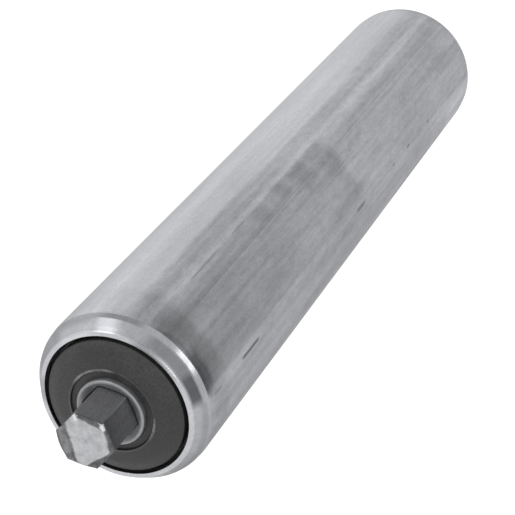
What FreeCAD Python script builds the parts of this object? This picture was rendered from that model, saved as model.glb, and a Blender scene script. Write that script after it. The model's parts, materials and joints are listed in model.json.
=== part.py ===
import FreeCAD, Part
import math
import os

# Gravity conveyor roller: a swaged steel tube running on two sealed ball bearings
# over a spring-loaded hexagonal axle.
# Millimetres. The roller's axis is Y, +Z is up, and the origin is the middle of the roller.
# The near end is at -Y, the far end at +Y; the spring is inside the far end.
# "Station" is a distance inwards from the tube's end plane, negative outside the tube.

# ---- tube ----
tube_od = 63.5
tube_wall = 1.65
tube_length = 312.4
mouth_clearance = 0.3        # mouth of the rolled-in end to the bearing's outer race, on the radius
mouth_land = 0.4             # straight edge inside the mouth
mouth_round = 0.35
lip_drop = 3.95              # how far the tube's outer edge lies under its surface at the lip
lip_round = 0.7
band_drop = 1.70             # middle of the cone between the lip and the shoulder
band_station = 3.8
band_round = 3.0
shoulder_drop = 0.28         # shoulder where the swaging tool stopped
shoulder_station = 6.5
shoulder_round = 0.8
taper_station = 9.0          # the tube has its full diameter from here on
taper_round = 4.8

# ---- hexagonal axle ----
axle_af = 17.46              # across flats, 11/16 in
axle_overhang = 21.9         # beyond the tube's end plane, each end
axle_turn = 21.5             # how far the hexagon stands turned from flats level, degrees
axle_end_inset = 0.63        # end face inside the flats
axle_chamfer_angle = 30.0
shear_slant = 3.7            # sheared ends out of square, degrees
shear_direction = 236.0      # side where the bar is longest, degrees from +X towards +Z

# ---- ball bearing ----
bearing_bore = 25.0
bearing_share = 0.76705      # of the height between the bearing's bore and the tube; 52 mm outside
bearing_width = 15.0
bearing_station = 6.0        # station of its outer face
ball_d = 7.938               # 5/16 in
ball_count = 9
groove_relief = 0.15         # race groove radius over the ball's radius
groove_depth = 1.35
race_chamfer = 0.8
cage_wall = 2.2
cage_web = 1.2               # cage beside each ball
pocket_relief = 0.3

# ---- hex-bored core of the bearing ----
hex_relief = 0.36            # core's flat to the axle's flat
collar_proud = 4.3           # collar beyond the tube's end plane
collar_step = 0.25           # collar under the bearing's seat, on the radius
collar_round = 0.75
lead_in_margin = 0.75        # mouth of the lead-in past the corners of the hexagonal bore
lead_in_depth = 0.9          # down to the bore's flats
core_flange_height = 3.5     # over the bearing's seat
core_flange_width = 3.0
core_flange_chamfer = 0.5

# ---- dust shield, stationary on the collar ----
rim_gap = 1.5                # open ring between shield and lip
shield_rise = 3.1            # crown of the shield over the tube's end plane
recess_width = 2.45          # sunk ring round the collar
recess_depth = 0.9
recess_slope = 0.35          # lean of the recess's outer wall
recess_rim = 0.7             # raised rim round the recess, where the dome ends
crown_chamfer = 0.3
dome_knee_inset = 3.6        # corner that the dome's curve is drawn round
dome_knee_rise = 1.75
dome_round = 16.0
shield_wall = 1.6
shield_edge_chamfer = 0.5
hub_wall = 2.75              # hub that grips the collar and rests on the inner race
inner_skirt_wall = 1.4
inner_skirt_gap = 0.4        # inner skirt to the bearing's face

# ---- labyrinth ring, turning with the housing ----
labyrinth_gap = 0.5
labyrinth_wall = 1.1
labyrinth_base = 1.4
labyrinth_toe = 0.9          # base inside the wall
labyrinth_top_gap = 0.7      # top of its wall to the underside of the shield

# ---- bearing housing ----
housing_station = 2.6        # station of its front face
housing_length = 23.4
bead_height = 0.4            # snap bead in front of the labyrinth ring
bead_width = 0.7
seat_flange_height = 3.0     # behind the outer race
seat_flange_width = 2.6
housing_end_wall = 2.4

# ---- grease seal behind the bearing ----
seal_gap = 0.3
seal_width = 1.6
seal_setback = 0.6           # seal behind the bearing's rear face
seal_lip_length = 1.2

# ---- rings, washers and spring on the axle ----
ring_thickness = 1.6
ring_width = 3.5
ring_opening = 50.0          # gap of the snap ring, degrees
groove_land = 0.22           # bottom of the groove outside the flats
groove_slack = 0.1
ring_seat_relief = 0.05
washer_margin = 1.0          # washer outside the spring
washer_thickness = 1.5
washer_relief = 0.15         # washer's hole over the hexagon's corners
stop_gap = 0.1               # washer to core at the end of the axle's travel
wire_d = 2.0                 # octagonal wire, across flats
wire_sides = 8
spring_slack = 1.42          # spring to the hexagon's corners
spring_length = 45.0         # fitted
spring_turns = 7.5

overcut = 1.0                # how far a cutting body stands past the piece it cuts

# ---- derived sizes ----
tube_r = tube_od / 2
tube_inner_r = tube_r - tube_wall
tube_end_y = -tube_length / 2
axle_corner_r = axle_af / 2 / math.cos(math.radians(30))
axle_end_y = tube_end_y - axle_overhang
seat_r = bearing_bore / 2
race_r = seat_r + bearing_share * (tube_inner_r - seat_r)
lip_bore_r = race_r + mouth_clearance
pitch_r = (seat_r + race_r) / 2
ball_r = ball_d / 2
groove_r = ball_r + groove_relief
bearing_rear_station = bearing_station + bearing_width
ball_station = bearing_station + bearing_width / 2
collar_r = seat_r - collar_step
core_bore_af = axle_af + 2 * hex_relief
core_bore_corner_r = core_bore_af / 2 / math.cos(math.radians(30))
core_flange_r = seat_r + core_flange_height
core_rear_station = bearing_rear_station + core_flange_width
shield_r = lip_bore_r - rim_gap
skirt_r = shield_r - shield_wall
labyrinth_front_station = bearing_station - labyrinth_base
skirt_end_station = labyrinth_front_station - labyrinth_gap
labyrinth_wall_r = skirt_r - labyrinth_gap
labyrinth_bore_r = labyrinth_wall_r - labyrinth_wall - labyrinth_toe
inner_skirt_r = labyrinth_bore_r - labyrinth_gap
housing_rear_station = housing_station + housing_length
seat_flange_bore_r = race_r - seat_flange_height
ring_groove_r = axle_af / 2 + groove_land
spring_mean_r = axle_corner_r + spring_slack + wire_d / 2
washer_r = spring_mean_r + wire_d / 2 + washer_margin
washer_station = core_rear_station + stop_gap
stop_ring_station = washer_station + washer_thickness
spring_station = core_rear_station + washer_thickness
spring_end_station = spring_station + spring_length
spring_ring_station = spring_end_station + washer_thickness

origin = FreeCAD.Vector(0, 0, 0)
axis = FreeCAD.Vector(0, 1, 0)


# ---- helpers ----

def at(station):
    # Y of a station at the near end
    return tube_end_y + station


def point(r, y):
    return FreeCAD.Vector(r, y, 0)


def rounded_corner(before, corner, after, radius):
    # start, middle and end of the arc that rounds a corner, kept inside its two sides
    back = before - corner
    on = after - corner
    side = min(back.Length, on.Length)
    back.normalize()
    on.normalize()
    half = back.getAngle(on) / 2
    reach = min(radius / math.tan(half), 0.45 * side)
    fitted = reach * math.tan(half)
    inwards = (back + on).normalize()
    centre = corner + inwards * (fitted / math.sin(half))
    return corner + back * reach, centre - inwards * fitted, corner + on * reach


def cut_corner(before, corner, after, leg):
    # start and end of a chamfer with equal legs
    back = (before - corner).normalize()
    on = (after - corner).normalize()
    return corner + back * leg, None, corner + on * leg


def profile_wire(corners):
    # closed outline through (radius, y, edge) corners
    # edge > 0 is the radius of a rounded corner, edge < 0 the leg of a chamfer, 0 a sharp corner
    places = [point(r, y) for r, y, edge in corners]
    stretches = []
    for i, (r, y, edge) in enumerate(corners):
        before = places[i - 1]
        after = places[(i + 1) % len(places)]
        if edge > 0:
            stretches.append(rounded_corner(before, places[i], after, edge))
        elif edge < 0:
            stretches.append(cut_corner(before, places[i], after, -edge))
        else:
            stretches.append((places[i], None, places[i]))
    edges = []
    for i, (start, middle, end) in enumerate(stretches):
        if middle is not None:
            edges.append(Part.Arc(start, middle, end).toShape())
        elif start.distanceToPoint(end) > 1e-6:
            edges.append(Part.LineSegment(start, end).toShape())
        following = stretches[(i + 1) % len(stretches)][0]
        if end.distanceToPoint(following) > 1e-6:
            edges.append(Part.LineSegment(end, following).toShape())
    return Part.Wire(edges)


def turned(corners):
    # solid of revolution about the roller's axis
    return Part.Face(profile_wire(corners)).revolve(origin, axis, 360)


def hexagon_prism(across_flats, y_start, y_end):
    corner_r = across_flats / 2 / math.cos(math.radians(30))
    corners = []
    for k in range(7):
        angle = math.radians(30 + axle_turn + 60 * k)
        corners.append(FreeCAD.Vector(corner_r * math.cos(angle), y_start, corner_r * math.sin(angle)))
    face = Part.Face(Part.makePolygon(corners))
    return face.extrude(FreeCAD.Vector(0, y_end - y_start, 0))


def far_side(shape):
    # the same piece at the other end of the roller
    return shape.mirror(origin, axis)


def save(shape, name):
    shape.exportStep("parts/" + name + ".step")


# ---- tube ----

def swage_outside():
    # (radius, station, rounding) of the rolled-in tube end, from the lip to the full diameter
    return [
        (lip_bore_r, 0, mouth_round),
        (tube_r - lip_drop, 0, lip_round),
        (tube_r - band_drop, band_station, band_round),
        (tube_r - shoulder_drop, shoulder_station, shoulder_round),
        (tube_r, taper_station, taper_round),
    ]


def swage_inside():
    # the same line one wall further in
    return [
        (lip_bore_r, mouth_land, 0),
        (tube_inner_r - band_drop, band_station, 0),
        (tube_inner_r - shoulder_drop, shoulder_station, 0),
        (tube_inner_r, taper_station, 0),
    ]


def roller_tube():
    near_outside = [(r, at(s), rounding) for r, s, rounding in swage_outside()]
    far_outside = [(r, -at(s), rounding) for r, s, rounding in reversed(swage_outside())]
    far_inside = [(r, -at(s), rounding) for r, s, rounding in swage_inside()]
    near_inside = [(r, at(s), rounding) for r, s, rounding in reversed(swage_inside())]
    return turned(near_outside + far_outside + far_inside + near_inside)


# ---- axle ----

def axle_blank():
    # turned outline that the hexagonal bar is cut down to: end chamfers and ring grooves
    over_r = axle_corner_r + overcut
    end_r = axle_af / 2 - axle_end_inset
    chamfer = (over_r - end_r) * math.tan(math.radians(axle_chamfer_angle))
    near_groove = at(stop_ring_station - groove_slack / 2)
    far_groove = -at(spring_ring_station + ring_thickness + groove_slack / 2)
    width = ring_thickness + groove_slack
    corners = [(0, axle_end_y, 0), (end_r, axle_end_y, 0), (over_r, axle_end_y + chamfer, 0)]
    for start in (near_groove, far_groove):
        corners += [(over_r, start, 0), (ring_groove_r, start, 0)]
        corners += [(ring_groove_r, start + width, 0), (over_r, start + width, 0)]
    corners += [(over_r, -axle_end_y - chamfer, 0), (end_r, -axle_end_y, 0), (0, -axle_end_y, 0)]
    return turned(corners)


def shear_offcut():
    # what the shear takes off the near end, beyond its slanted plane
    block = Part.makeBox(4 * axle_corner_r, 2 * axle_corner_r, 4 * axle_corner_r)
    block.translate(FreeCAD.Vector(-2 * axle_corner_r, -2 * axle_corner_r, -2 * axle_corner_r))
    block.rotate(FreeCAD.Vector(axle_corner_r, 0, 0), FreeCAD.Vector(0, 0, 1), -shear_slant)
    block.rotate(origin, axis, -shear_direction)
    block.translate(FreeCAD.Vector(0, axle_end_y, 0))
    return block


def hex_axle():
    bar = hexagon_prism(axle_af, axle_end_y, -axle_end_y).common(axle_blank())
    offcut = shear_offcut()
    return bar.cut(offcut).cut(far_side(offcut))


def snap_ring(station):
    # flat open ring in a groove of the axle
    inner_r = ring_groove_r + ring_seat_relief
    outer_r = ring_groove_r + ring_width
    ring = turned([
        (inner_r, at(station), 0),
        (outer_r, at(station), 0),
        (outer_r, at(station + ring_thickness), 0),
        (inner_r, at(station + ring_thickness), 0),
    ])
    gap = Part.makeCylinder(2 * outer_r, 2 * ring_thickness, origin, axis, ring_opening)
    gap.translate(FreeCAD.Vector(0, at(station - ring_thickness / 2), 0))
    return ring.cut(gap)


def washer(station):
    inner_r = axle_corner_r + washer_relief
    return turned([
        (inner_r, at(station), 0),
        (washer_r, at(station), 0),
        (washer_r, at(station + washer_thickness), 0),
        (inner_r, at(station + washer_thickness), 0),
    ])


def wire_section():
    # regular polygon round the start of the coil
    corner_r = wire_d / 2 / math.cos(math.pi / wire_sides)
    corners = []
    for k in range(wire_sides + 1):
        angle = math.pi * (2 * k + 1) / wire_sides
        out = spring_mean_r + corner_r * math.cos(angle)
        corners.append(FreeCAD.Vector(out, 0, corner_r * math.sin(angle)))
    return Part.makePolygon(corners)


def axle_spring():
    # coil spring with both ends ground flat, between the two washers of the far end
    pitch = spring_length / (spring_turns - 1)
    coil_height = spring_turns * pitch
    path = Part.makeHelix(pitch, coil_height, spring_mean_r)
    coil = Part.Wire(path).makePipeShell([wire_section()], True, True)
    coil.translate(FreeCAD.Vector(0, 0, -pitch / 2))
    ground = coil.common(Part.makeCylinder(2 * spring_mean_r, spring_length))
    ground.rotate(origin, FreeCAD.Vector(1, 0, 0), 90)
    ground.translate(FreeCAD.Vector(0, -at(spring_station), 0))
    return ground


# ---- bearing ----

def race_groove():
    return Part.makeTorus(pitch_r, groove_r, point(0, at(ball_station)), axis)


def outer_race():
    shoulder_r = pitch_r + groove_r - groove_depth
    ring = turned([
        (shoulder_r, at(bearing_station), 0),
        (race_r, at(bearing_station), -race_chamfer),
        (race_r, at(bearing_rear_station), -race_chamfer),
        (shoulder_r, at(bearing_rear_station), 0),
    ])
    return ring.cut(race_groove())


def inner_race():
    shoulder_r = pitch_r - groove_r + groove_depth
    ring = turned([
        (seat_r, at(bearing_station), -race_chamfer),
        (shoulder_r, at(bearing_station), 0),
        (shoulder_r, at(bearing_rear_station), 0),
        (seat_r, at(bearing_rear_station), -race_chamfer),
    ])
    return ring.cut(race_groove())


def ball_centres():
    centres = []
    for k in range(ball_count):
        angle = 2 * math.pi * k / ball_count
        centres.append(FreeCAD.Vector(pitch_r * math.cos(angle), at(ball_station), pitch_r * math.sin(angle)))
    return centres


def bearing_balls():
    return Part.Compound([Part.makeSphere(ball_r, centre) for centre in ball_centres()])


def ball_cage():
    # ring with a round pocket for each ball
    half_width = ball_r + cage_web
    ring = turned([
        (pitch_r - cage_wall / 2, at(ball_station - half_width), 0),
        (pitch_r + cage_wall / 2, at(ball_station - half_width), 0),
        (pitch_r + cage_wall / 2, at(ball_station + half_width), 0),
        (pitch_r - cage_wall / 2, at(ball_station + half_width), 0),
    ])
    for centre in ball_centres():
        outwards = FreeCAD.Vector(centre.x, 0, centre.z)
        start = centre - outwards / 2
        ring = ring.cut(Part.makeCylinder(ball_r + pocket_relief, pitch_r, start, outwards))
    return ring


def hex_core():
    # sleeve inside the inner race, with the collar that shows at the roller's end
    sleeve = turned([
        (0, at(-collar_proud), 0),
        (collar_r, at(-collar_proud), collar_round),
        (collar_r, at(bearing_station), 0),
        (seat_r, at(bearing_station), 0),
        (seat_r, at(bearing_rear_station), 0),
        (core_flange_r, at(bearing_rear_station), 0),
        (core_flange_r, at(core_rear_station), -core_flange_chamfer),
        (0, at(core_rear_station), 0),
    ])
    mouth_r = core_bore_corner_r + lead_in_margin
    flare = mouth_r - core_bore_af / 2
    lead_in = turned([
        (0, at(-collar_proud - lead_in_depth), 0),
        (mouth_r + flare, at(-collar_proud - lead_in_depth), 0),
        (mouth_r - flare, at(-collar_proud + lead_in_depth), 0),
        (0, at(-collar_proud + lead_in_depth), 0),
    ])
    bore = hexagon_prism(core_bore_af, at(-collar_proud - overcut), at(core_rear_station + overcut))
    return sleeve.cut(lead_in).cut(bore)


# ---- seals ----

def dust_shield():
    # domed cover pressed on the collar, with two skirts towards the bearing
    rim_r = collar_r + recess_width
    crown_r = rim_r + recess_slope + recess_rim
    knee_r = shield_r - dome_knee_inset
    floor_station = recess_depth - shield_rise
    hub_r = collar_r + hub_wall
    knee_station = -dome_knee_rise
    return turned([
        (collar_r, at(floor_station), 0),
        (rim_r, at(floor_station), 0),
        (rim_r + recess_slope, at(-shield_rise), -crown_chamfer),
        (crown_r, at(-shield_rise), -crown_chamfer),
        (knee_r, at(knee_station), dome_round),
        (shield_r, at(0), -shield_edge_chamfer),
        (shield_r, at(skirt_end_station), 0),
        (skirt_r, at(skirt_end_station), 0),
        (skirt_r, at(shield_wall), 0),
        (inner_skirt_r, at(knee_station + shield_wall), 0),
        (inner_skirt_r, at(bearing_station - inner_skirt_gap), 0),
        (inner_skirt_r - inner_skirt_wall, at(bearing_station - inner_skirt_gap), 0),
        (inner_skirt_r - inner_skirt_wall, at(knee_station + shield_wall), 0),
        (hub_r, at(floor_station + shield_wall), 0),
        (hub_r, at(bearing_station), 0),
        (collar_r, at(bearing_station), 0),
    ])


def labyrinth_ring():
    # turning half of the labyrinth: its wall stands between the shield's skirts
    wall_inner_r = labyrinth_wall_r - labyrinth_wall
    top_station = shield_wall + labyrinth_top_gap
    return turned([
        (labyrinth_bore_r, at(bearing_station), 0),
        (race_r, at(bearing_station), 0),
        (race_r, at(labyrinth_front_station), 0),
        (labyrinth_wall_r, at(labyrinth_front_station), 0),
        (labyrinth_wall_r, at(top_station), 0),
        (wall_inner_r, at(top_station), 0),
        (wall_inner_r, at(labyrinth_front_station), 0),
        (labyrinth_bore_r, at(labyrinth_front_station), 0),
    ])


def grease_seal():
    # lipped ring in the housing's rear flange, clear of the core
    inner_r = core_flange_r + seal_gap
    front_station = bearing_rear_station + seal_setback
    rear_station = front_station + seal_width
    lip_station = rear_station + seal_lip_length
    return turned([
        (inner_r, at(front_station), 0),
        (seat_flange_bore_r, at(front_station), 0),
        (seat_flange_bore_r, at(rear_station), 0),
        (inner_r + seal_lip_length, at(rear_station), 0),
        (inner_r + seal_lip_length / 2, at(lip_station), 0),
        (inner_r, at(lip_station), 0),
    ])


def bearing_housing():
    # moulded cup gripped by the swaged tube, with a seat for the outer race
    flange_station = bearing_rear_station + seat_flange_width
    band_inner_r = tube_inner_r - band_drop
    reach = (housing_station - mouth_land) / (band_station - mouth_land)
    front_r = lip_bore_r + reach * (band_inner_r - lip_bore_r)
    bore = [
        (lip_bore_r, at(housing_station), 0),
        (lip_bore_r, at(labyrinth_front_station - bead_width), 0),
        (race_r - bead_height, at(labyrinth_front_station - bead_width / 2), 0),
        (race_r, at(labyrinth_front_station), 0),
        (race_r, at(bearing_rear_station), 0),
        (seat_flange_bore_r, at(bearing_rear_station), 0),
        (seat_flange_bore_r, at(flange_station), 0),
        (tube_inner_r - housing_end_wall, at(housing_rear_station), 0),
    ]
    outside = [(tube_inner_r, at(housing_rear_station), 0)]
    outside += [(r, at(s), 0) for r, s, rounding in reversed(swage_inside()[1:])]
    outside.append((front_r, at(housing_station), 0))
    return turned(bore + outside)


# ---- build ----

end_pieces = {
    "bearing_housing": bearing_housing,
    "outer_race": outer_race,
    "inner_race": inner_race,
    "bearing_balls": bearing_balls,
    "ball_cage": ball_cage,
    "hex_core": hex_core,
    "dust_shield": dust_shield,
    "labyrinth_ring": labyrinth_ring,
    "grease_seal": grease_seal,
}

os.makedirs("parts", exist_ok=True)

for name, make in end_pieces.items():
    piece = make()
    save(piece, "near_" + name)
    save(far_side(piece), "far_" + name)

save(roller_tube(), "roller_tube")
save(hex_axle(), "hex_axle")
save(snap_ring(stop_ring_station), "near_stop_ring")
save(washer(washer_station), "near_thrust_washer")
save(axle_spring(), "axle_spring")
save(far_side(washer(core_rear_station)), "spring_seat_washer")
save(far_side(washer(spring_end_station)), "spring_stop_washer")
save(far_side(snap_ring(spring_ring_station)), "spring_stop_ring")
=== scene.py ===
# Conveyor roller: swaged galvanised tube, two sealed bearings, spring-loaded hexagonal axle.
# Directions round the roller are in degrees from +X towards +Z.
import bpy
import bmesh
import json
import math
from mathutils import Matrix, Vector


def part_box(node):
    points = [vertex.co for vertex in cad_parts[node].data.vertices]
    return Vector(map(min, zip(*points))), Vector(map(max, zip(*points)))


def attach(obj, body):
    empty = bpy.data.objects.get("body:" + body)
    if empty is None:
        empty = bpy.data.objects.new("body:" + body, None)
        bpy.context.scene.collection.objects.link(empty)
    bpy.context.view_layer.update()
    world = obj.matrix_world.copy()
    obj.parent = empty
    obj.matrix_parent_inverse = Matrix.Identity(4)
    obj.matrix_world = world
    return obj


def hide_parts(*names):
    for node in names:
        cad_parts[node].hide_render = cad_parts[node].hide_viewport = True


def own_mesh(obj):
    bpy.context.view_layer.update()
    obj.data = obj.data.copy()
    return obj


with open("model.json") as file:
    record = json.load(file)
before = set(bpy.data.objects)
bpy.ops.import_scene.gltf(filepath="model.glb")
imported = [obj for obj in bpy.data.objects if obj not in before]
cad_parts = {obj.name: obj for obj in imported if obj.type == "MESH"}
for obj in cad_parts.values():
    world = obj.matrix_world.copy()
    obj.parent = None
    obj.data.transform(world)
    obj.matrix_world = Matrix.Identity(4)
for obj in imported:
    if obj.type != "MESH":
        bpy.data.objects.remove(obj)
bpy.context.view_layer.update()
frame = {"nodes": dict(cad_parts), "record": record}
mm = 0.001
scene = bpy.context.scene
print("frame: loaded", len(frame["nodes"]), "nodes")

tubeLow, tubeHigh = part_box("roller_tube")
tubeRadius = tubeHigh.x
tubeEnd = -tubeLow.y                  # distance from the middle to either end plane
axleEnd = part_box("hex_axle")[1].y


def addNode(tree, kind, inputs=None, **settings):
    node = tree.nodes.new(kind)
    for name, value in settings.items():
        setattr(node, name, value)
    for key, value in (inputs or {}).items():
        if isinstance(value, bpy.types.NodeSocket):
            tree.links.new(value, node.inputs[key])
        else:
            node.inputs[key].default_value = value
    return node


def calc(tree, operation, first, second=0.0):
    return addNode(tree, "ShaderNodeMath", {0: first, 1: second}, operation=operation).outputs[0]


def plus(tree, first, second):
    return calc(tree, "ADD", first, second)


def minus(tree, first, second):
    return calc(tree, "SUBTRACT", first, second)


def times(tree, first, second):
    return calc(tree, "MULTIPLY", first, second)


def over(tree, first, second):
    return calc(tree, "DIVIDE", first, second)


def remap(tree, value, low, high, toLow, toHigh, smooth=True):
    inputs = {0: value, 1: low, 2: high, 3: toLow, 4: toHigh}
    kind = "SMOOTHSTEP" if smooth else "LINEAR"
    return addNode(tree, "ShaderNodeMapRange", inputs, interpolation_type=kind).outputs[0]


def vary(tree, pattern, low, high):
    # nearly all of a noise pattern lies between 0.3 and 0.7
    return remap(tree, pattern, 0.3, 0.7, low, high)


def swing(tree, pattern, strength):
    # a noise pattern as a change to either side of nothing
    return times(tree, minus(tree, pattern, 0.5), strength)


def mixed(tree, share, first, second):
    inputs = {0: share, 2: first, 3: second}
    return addNode(tree, "ShaderNodeMix", inputs, data_type="FLOAT").outputs[0]


def noise(tree, place, scale, detail, roughness=0.6, along=1, shift=(0, 0, 0)):
    # a higher scale is a finer pattern; along below 1 draws it out along the roller
    inputs = {"Vector": place, "Location": shift, "Scale": (1, along, 1)}
    mapped = addNode(tree, "ShaderNodeMapping", inputs).outputs[0]
    inputs = {"Vector": mapped, "Scale": scale, "Detail": detail, "Roughness": roughness}
    return addNode(tree, "ShaderNodeTexNoise", inputs).outputs["Fac"]


def apart(tree, place):
    return addNode(tree, "ShaderNodeSeparateXYZ", {0: place}).outputs


def headingOf(tree, axes):
    return calc(tree, "DEGREES", calc(tree, "ARCTAN2", axes["Z"], axes["X"]))


def reach(tree, axes, heading):
    # how far a place lies from the axis in one direction round the roller
    a = math.radians(heading)
    return plus(tree, times(tree, axes["X"], math.cos(a)), times(tree, axes["Z"], math.sin(a)))


def startMaterial(name):
    material = bpy.data.materials.new(name)
    material.use_nodes = True
    material.node_tree.nodes.clear()
    return material, material.node_tree


def startFinish(name):
    material, tree = startMaterial(name)
    surface = addNode(tree, "ShaderNodeBsdfPrincipled")
    addNode(tree, "ShaderNodeOutputMaterial", {"Surface": surface.outputs[0]})
    place = addNode(tree, "ShaderNodeTexCoord").outputs["Object"]
    return material, tree, surface, place


def paint(tree, surface, level, tint, roughness):
    # grey level times a colour
    inputs = {0: level, 1: tint}
    colour = addNode(tree, "ShaderNodeVectorMath", inputs, operation="MULTIPLY").outputs[0]
    tree.links.new(colour, surface.inputs["Base Color"])
    tree.links.new(roughness, surface.inputs["Roughness"])


def bump(tree, surface, height, depth, strength):
    inputs = {"Height": height, "Distance": depth, "Strength": strength}
    node = addNode(tree, "ShaderNodeBump", inputs)
    tree.links.new(node.outputs[0], surface.inputs["Normal"])


viewpoint = {
    "place": (0.20399, -0.52564, 0.29197),
    "looksAlong": (-0.33492, 0.80444, -0.49063),
    "lens": 109.02,
    "sensorWidth": 36,
}
cameraData = bpy.data.cameras.new("viewCamera")
cameraData.lens = viewpoint["lens"]
cameraData.sensor_width = viewpoint["sensorWidth"]
camera = bpy.data.objects.new("viewCamera", cameraData)
camera.location = viewpoint["place"]
camera.rotation_euler = Vector(viewpoint["looksAlong"]).to_track_quat("-Z", "Y").to_euler()
scene.collection.objects.link(camera)
scene.camera = camera
print("camera: placed")


studio = {
    "floorDrop": 0.32,                # floor below the roller's axis, which is held by its axle
    "floorSize": 8.0,
    "floorColour": (0.80, 0.80, 0.80, 1),
    "floorGlow": 0.55,
    "skyLevel": 0.55,
    # soft boxes round the roller: place, length along it, width, watts
    "lamps": {
        "leftLamp": ((-1.70, 1.75, 0.75), 2.6, 2.2, 15.5),
        "topLamp": ((-0.85, -0.32, 1.35), 0.7, 0.6, 2.25),
        "rightLamp": ((1.32, 0.30, 0.78), 0.4, 0.75, 2.4),
        "frontLamp": ((-0.91, -1.10, 1.08), 0.5, 0.5, 3),
        "cornerLamp": ((0.95, -1.21, 0.48), 0.35, 0.35, 2.5),
    },
}


def seenDirectly(tree):
    # 1 for rays that show the backdrop itself: from the camera, in metal, through glass
    path = addNode(tree, "ShaderNodeLightPath").outputs
    shown = calc(tree, "MAXIMUM", path["Is Camera Ray"], path["Is Glossy Ray"])
    return calc(tree, "MAXIMUM", shown, path["Is Transmission Ray"])


def makeFloorPaper():
    material, tree = startMaterial("floorPaper")
    paper = addNode(tree, "ShaderNodeBsdfDiffuse", {"Color": studio["floorColour"]})
    strength = times(tree, seenDirectly(tree), studio["floorGlow"])
    glow = addNode(tree, "ShaderNodeEmission", {"Strength": strength})
    lit = addNode(tree, "ShaderNodeAddShader", {0: paper.outputs[0], 1: glow.outputs[0]})
    # clear from below, so the roller can be seen from there too
    clear = addNode(tree, "ShaderNodeBsdfTransparent")
    under = addNode(tree, "ShaderNodeNewGeometry").outputs["Backfacing"]
    inputs = {0: under, 1: lit.outputs[0], 2: clear.outputs[0]}
    sheet = addNode(tree, "ShaderNodeMixShader", inputs)
    addNode(tree, "ShaderNodeOutputMaterial", {"Surface": sheet.outputs[0]})
    return material


def makeFloor():
    mesh = bpy.data.meshes.new("studioFloor")
    half = studio["floorSize"] / 2
    drop = -studio["floorDrop"]
    corners = [(-half, -half, drop), (half, -half, drop), (half, half, drop), (-half, half, drop)]
    mesh.from_pydata(corners, [], [(0, 1, 2, 3)])
    mesh.materials.append(makeFloorPaper())
    floor = bpy.data.objects.new("studioFloor", mesh)
    scene.collection.objects.link(floor)


def makeSky():
    world = bpy.data.worlds.new("studioSky")
    world.use_nodes = True
    tree = world.node_tree
    tree.nodes.clear()
    level = remap(tree, seenDirectly(tree), 0, 1, studio["skyLevel"], 1.0, smooth=False)
    sky = addNode(tree, "ShaderNodeBackground", {"Color": (1, 1, 1, 1), "Strength": level})
    addNode(tree, "ShaderNodeOutputWorld", {"Surface": sky.outputs[0]})
    scene.world = world


def makeLamps():
    for name, (place, length, width, watts) in studio["lamps"].items():
        data = bpy.data.lights.new(name, "AREA")
        data.shape = "RECTANGLE"
        data.size = width
        data.size_y = length
        data.energy = watts
        lamp = bpy.data.objects.new(name, data)
        lamp.location = place
        # each one faces the middle of the roller, its length along Y
        towards = -Vector(place).normalized()
        lengthways = (Vector((0, 1, 0)) - towards * towards.y).normalized()
        turn = Matrix((lengthways.cross(-towards), lengthways, -towards)).transposed()
        lamp.rotation_euler = turn.to_euler()
        scene.collection.objects.link(lamp)


makeFloor()
makeSky()
makeLamps()
scene.view_settings.view_transform = "Standard"
print("studio: floor, sky and", len(studio["lamps"]), "lamps")


meshing = {
    "crease": 34,                     # edges sharper than this stay sharp, degrees
    "around": 192,                    # steps round a turned form
    "roundingSteps": 7,               # points along a rounded corner
    "roundingLimit": 0.45,            # share of a side that one rounding may take up
    "weld": 1e-6,                     # places closer than this are joined, metres
}


def startTree(name, inputs):
    tree = bpy.data.node_groups.new(name, "GeometryNodeTree")
    for way in ("INPUT", "OUTPUT"):
        tree.interface.new_socket("Geometry", in_out=way, socket_type="NodeSocketGeometry")
    for label, kind in inputs.items():
        tree.interface.new_socket(label, in_out="INPUT", socket_type="NodeSocket" + kind)
    return tree, addNode(tree, "NodeGroupInput").outputs, addNode(tree, "NodeGroupOutput")


def endTree(tree, geometry, output, given):
    # plain smooth mesh with its finish
    real = addNode(tree, "GeometryNodeRealizeInstances", {"Geometry": geometry}).outputs[0]
    smooth = addNode(tree, "GeometryNodeSetShadeSmooth", {"Geometry": real}).outputs[0]
    inputs = {"Geometry": smooth, "Material": given["Finish"]}
    painted = addNode(tree, "GeometryNodeSetMaterial", inputs)
    tree.links.new(painted.outputs[0], output.inputs[0])


def roundAxis(tree, radius, angle, y):
    # a place on a circle about the roller's axis
    x = times(tree, radius, calc(tree, "COSINE", angle))
    z = times(tree, radius, calc(tree, "SINE", angle))
    return addNode(tree, "ShaderNodeCombineXYZ", {"X": x, "Y": y, "Z": z}).outputs[0]


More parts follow.
